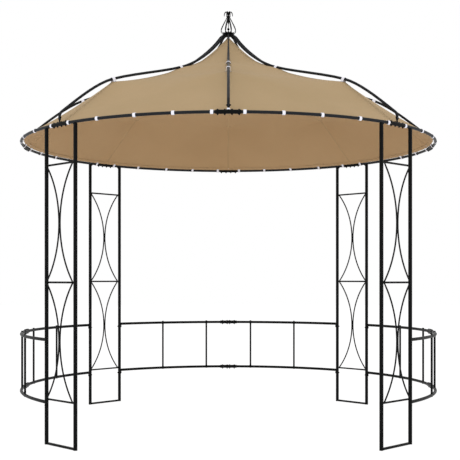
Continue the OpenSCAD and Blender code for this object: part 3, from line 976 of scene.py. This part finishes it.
# %% [markdown]
# ## Bolts
# Each joint sleeve is held by four bolts through sleeve and tube: a domed head on a washer above,
# a hexagon nut and the thread's end below. One bolt is modelled with its head up, for a grip of
# the right length, and copied to every hole. The same bolt, laid on its side, pins the ribs' feet
# and the rails' lugs.


# %% One bolt and its nut
WASHER_R, WASHER_H = 6.2 * MM, 1.2 * MM
HEAD_R, HEAD_H, HEAD_SUNK = 5.4 * MM, 4.2 * MM, 0.2 * MM
NUT_R, NUT_H = 5.8 * MM, 5 * MM
THREAD_R, THREAD_FROM, THREAD_TO = 2.9 * MM, 4 * MM, 8 * MM
THIN_BEVEL, BEVEL = 0.3 * MM, 0.5 * MM
DOME_CUT = 0.1


def bevelled_cylinder(name, sides, r, low, high, bevel):
    bpy.ops.object.select_all(action="DESELECT")
    bpy.ops.mesh.primitive_cylinder_add(vertices=sides, radius=r, depth=high - low,
                                        location=(0, 0, (low + high) / 2))
    piece = newest(name)
    bpy.ops.object.mode_set(mode="EDIT")
    bpy.ops.mesh.select_all(action="SELECT")
    bpy.ops.mesh.bevel(offset=bevel, segments=1, affect="EDGES")
    bpy.ops.object.mode_set(mode="OBJECT")
    return piece


def dome(name, r, height, low):
    """The upper part of a ball, cut off a little above its middle and pressed flatter."""
    cut = DOME_CUT * r
    bpy.ops.object.select_all(action="DESELECT")
    bpy.ops.mesh.primitive_uv_sphere_add(segments=16, ring_count=10, radius=r, location=(0, 0, 0))
    piece = newest(name)
    bpy.ops.object.mode_set(mode="EDIT")
    bpy.ops.mesh.select_all(action="SELECT")
    bpy.ops.mesh.bisect(plane_co=(0, 0, cut), plane_no=(0, 0, 1), use_fill=True, clear_inner=True)
    bpy.ops.object.mode_set(mode="OBJECT")
    for vertex in piece.data.vertices:
        vertex.co.z = low + (vertex.co.z - cut) * height / (r - cut)
    return piece


def bolt(name, grip):
    """Head above +grip/2, nut below -grip/2."""
    top, bottom = grip / 2, -grip / 2
    parts = [
        bevelled_cylinder(name + "_washer", 20, WASHER_R, top, top + WASHER_H, THIN_BEVEL),
        dome(name + "_head", HEAD_R, HEAD_H, top + WASHER_H - HEAD_SUNK),
        bevelled_cylinder(name + "_nut", 6, NUT_R, bottom - NUT_H, bottom, BEVEL),
        bevelled_cylinder(name + "_thread", 12, THREAD_R, bottom - THREAD_TO, bottom - THREAD_FROM,
                          BEVEL),
    ]
    made = joined(name, *parts)
    smooth(made, 35)
    return made


def bolts(name, grip, places):
    """One bolt copied to all its places, as one piece."""
    return finish_piece(copies(name, bolt("bolt", grip), places), black_zinc)


# %% [markdown]
# The bolt goes to its places: four along each of the ring's eight sleeves, and four along each of
# the six sleeves of the rails. The rails are a thicker tube, so their bolts have a longer grip.

# %% Bolts of the ring's and the rails' sleeves
RING_BOLTS = [-62 * MM, -21 * MM, 21 * MM, 62 * MM]
RAIL_BOLTS = [-52 * MM, -11 * MM, 11 * MM, 52 * MM]
SEATED = 0.6 * MM  # a washer on a round tube bites in by this much
bolts("ring_sleeve_bolts", 2 * sleeve_r - SEATED, [
    around(rib * RIB_STEP + along / ring_r, ring_r, ring_z)
    for rib in range(RIBS) for along in RING_BOLTS
])
bolts("rail_sleeve_bolts", 2 * rail_sleeve_r - SEATED, [
    around(azimuth + along / ring_r, ring_r, z)
    for azimuth in SIDE_AZIMUTHS for z in (top_rail_z, bottom_rail_z) for along in RAIL_BOLTS
])

# %% [markdown]
# Laid on its side, the same bolt goes across each rib's foot, through the stud, and through each
# lug of the rails into the post behind it.

# %% Bolts of the ribs' feet and of the rails' lugs
lying = Matrix.Rotation(math.pi / 2, 4, "X")
RIB_BOLT_H = 38.5 * MM
LUG_THICKNESS = 4 * MM
LUG_DROP = 21 * MM
RIB_SEATED = 0.8 * MM
bolts("rib_foot_bolts", 2 * RIB_R - RIB_SEATED, [
    around(rib * RIB_STEP, ring_r, ring_z + RIB_BOLT_H) @ lying for rib in range(RIBS)
])

lug_places = []
for azimuth in SIDE_AZIMUTHS:
    for side in (-1, 1):
        post = azimuth + side * (math.radians(45) - LEG_HALF_ANGLE)
        for z in (top_rail_z, bottom_rail_z):
            turn = Matrix.Rotation(side * math.pi / 2, 4, "X")
            lug_places.append(around(post, ring_r, z - LUG_DROP, -side * LUG_THICKNESS / 2) @ turn)
bolts("lug_bolts", 2 * POST_R + LUG_THICKNESS, lug_places)

# %% [markdown]
# ## Crown bolts
# At the crown each rib's flattened end goes into the hub, under the cover plate, and a short bolt
# across the flat holds it. The flat is 9 mm thick, so the grip is short.

# %% Crown bolts
CROWN_BOLT_R = 47 * MM
CROWN_BOLT_H = 813 * MM
CROWN_GRIP = 9 * MM
bolts("crown_bolts", CROWN_GRIP, [
    around(rib * RIB_STEP, CROWN_BOLT_R, ring_z + CROWN_BOLT_H) @ lying for rib in range(RIBS)
])

# %% [markdown]
# ## Weld beads
# The legs and the balustrades are welded: a bead runs round each rung where it meets a post and
# round each spindle where it meets a rail. The bead is a torus bent to the tube that it lies on,
# with the small ripples that a welding torch leaves.


# %% Weld beads
BEAD_R = 1.9 * MM
BEAD_ASIDE = 0.6 * MM
RIPPLES = 12
RIPPLE_SHARE = 0.025


def weld_bead(name, rod_r, tube_r):
    """A bead at z = 0, round a rod that comes down along Z onto a tube that runs along Y."""
    bpy.ops.object.select_all(action="DESELECT")
    bpy.ops.mesh.primitive_torus_add(major_segments=24, minor_segments=8,
                                     major_radius=rod_r + BEAD_ASIDE, minor_radius=BEAD_R)
    piece = newest(name)
    for vertex in piece.data.vertices:
        angle = math.atan2(vertex.co.y, vertex.co.x)
        vertex.co *= 1 + RIPPLE_SHARE * math.sin(RIPPLES * angle)
        aside = min(abs(vertex.co.x), tube_r * 0.98)
        vertex.co.z += math.sqrt(tube_r**2 - aside**2) - tube_r
    smooth(piece, 60)
    return piece


leg_plane_r = ring_r * math.cos(LEG_HALF_ANGLE)
rung_weld_places = []
for azimuth in LEG_AZIMUTHS:
    for side in (-1, 1):
        for z in RUNG_HEIGHTS:
            at = around(azimuth, leg_plane_r, z, side * (POST_OFFSET - POST_R))
            rung_weld_places.append(at @ Matrix.Rotation(side * math.pi / 2, 4, "X"))
rung_welds = copies("rung_welds", weld_bead("bead", RUNG_R, POST_R), rung_weld_places)
finish_piece(rung_welds, black_steel)

SPINDLE_PITCH = 394 * MM  # along the rail, from one spindle to the next
upside_down = Matrix.Rotation(math.pi, 4, "Y")
spindle_weld_places = []
for azimuth in SIDE_AZIMUTHS:
    for bays in (-1.5, -0.5, 0.5, 1.5):
        spindle = azimuth + bays * SPINDLE_PITCH / ring_r
        spindle_weld_places.append(around(spindle, ring_r, bottom_rail_z + rail_r))
        spindle_weld_places.append(around(spindle, ring_r, top_rail_z - rail_r) @ upside_down)
spindle_welds = copies("spindle_welds", weld_bead("bead", SPINDLE_R, rail_r), spindle_weld_places)
finish_piece(spindle_welds, black_steel)

# %% [markdown]
# ## Ribs
# The frame's ribs are modelled with fourteen flat sides. A copy of each is merged into one skin
# and shaded smooth, and stands in for the frame's own, so that the tube reads round.

# %% Round ribs
for rib in range(1, RIBS + 1):
    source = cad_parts[f"rib_{rib}"]
    tube = bpy.data.objects.new(f"rib_tube_{rib}", source.data.copy())
    scene.collection.objects.link(tube)
    use(tube)
    bpy.ops.object.mode_set(mode="EDIT")
    bpy.ops.mesh.select_all(action="SELECT")
    bpy.ops.mesh.customdata_custom_splitnormals_clear()
    bpy.ops.mesh.remove_doubles(threshold=SAME_PLACE / 2)
    bpy.ops.object.mode_set(mode="OBJECT")
    smooth(tube, 50)
    # the ribs get the copy of the black coat with the painted highlight
    finish_piece(tube, roof_tubes_painted_highlight)
    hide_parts(f"rib_{rib}")
